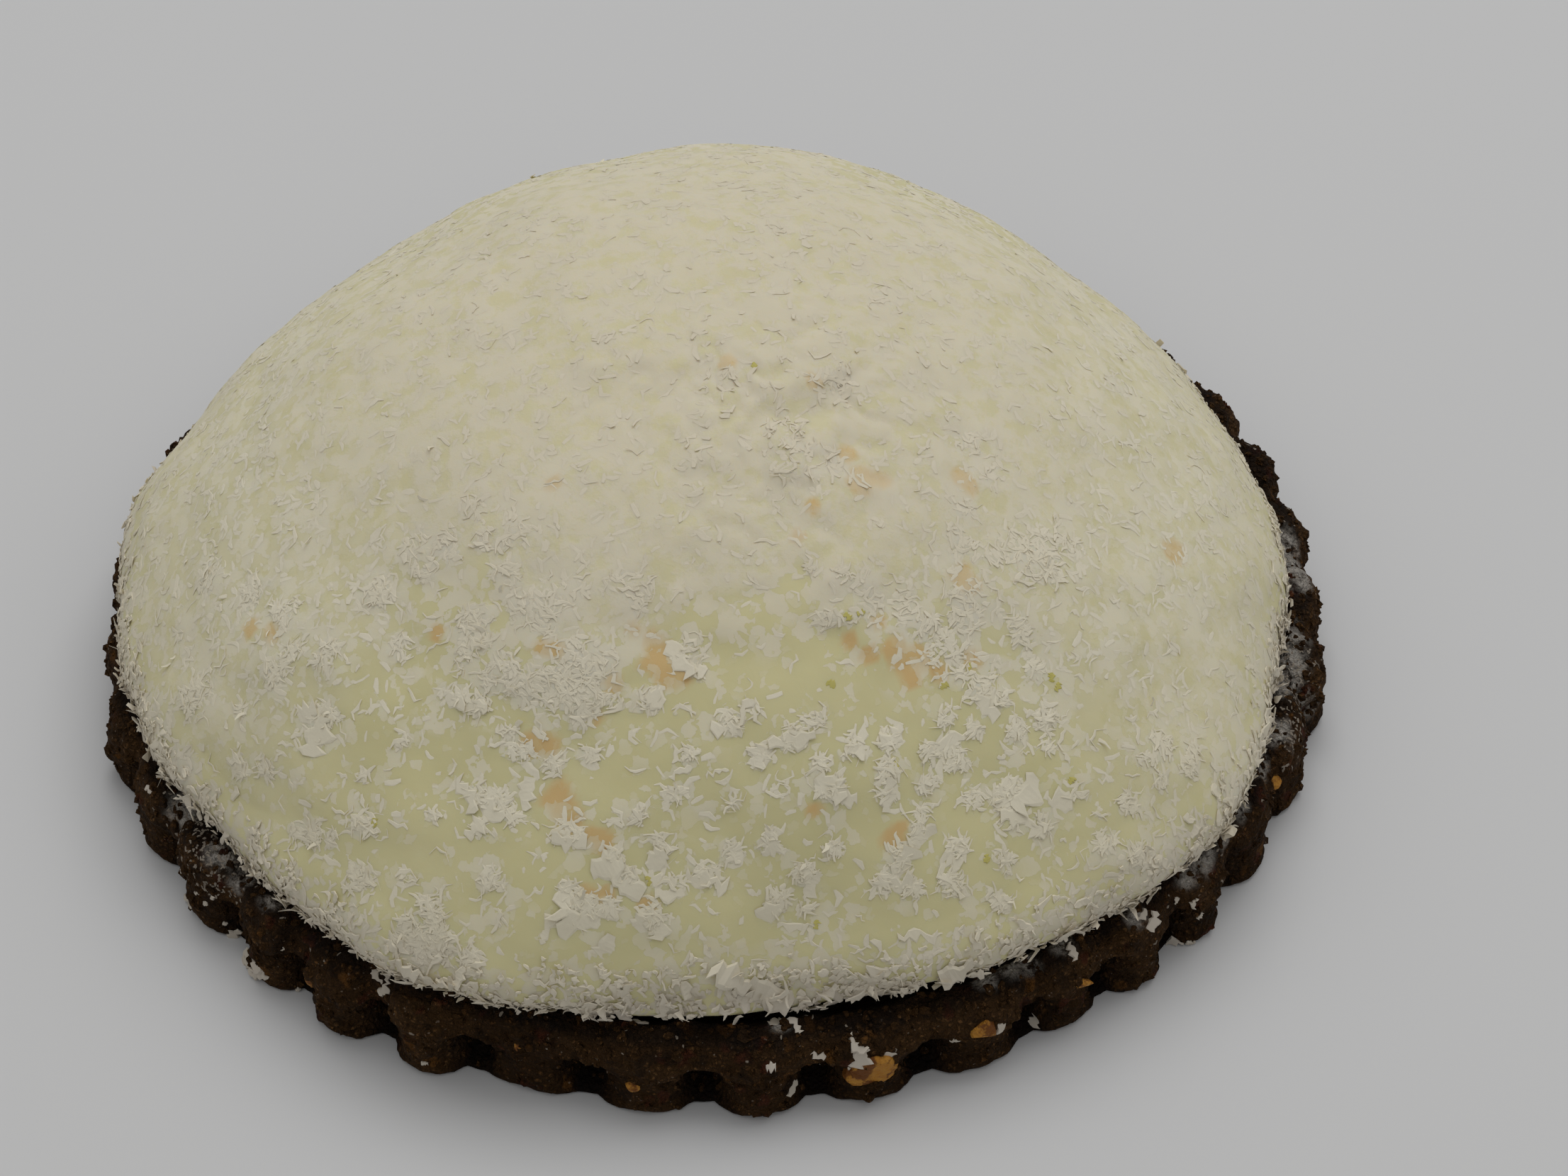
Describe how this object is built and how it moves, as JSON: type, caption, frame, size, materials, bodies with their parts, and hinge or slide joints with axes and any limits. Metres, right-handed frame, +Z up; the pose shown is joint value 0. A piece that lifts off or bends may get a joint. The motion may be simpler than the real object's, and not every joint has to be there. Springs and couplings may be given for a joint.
{
  "type": "domed cheesecake",
  "caption": "Individual domed cheesecake: a rounded mound of set cream coated in fine coconut, standing in a low fluted crust of dark cocoa and chopped nuts.",
  "frame": {"origin": "middle of the crust's flat underside, the bottom centre of the bounding box to within a millimetre", "axes": "+Z up through the top of the mound; the front, the side that faces the camera, is -Y; +X is to the right as seen from the front"},
  "size_m": [0.1011, 0.0992, 0.0392],
  "materials": {
    "crust": "rough, crumbly, very dark brown baked cocoa and nuts",
    "cream": "matte pale yellow cream under a rough off-white coat of fine coconut"
  },
  "bodies": {
    "root": {"crust": "crust", "cream_mound": "cream"}
  },
  "joints": []
}
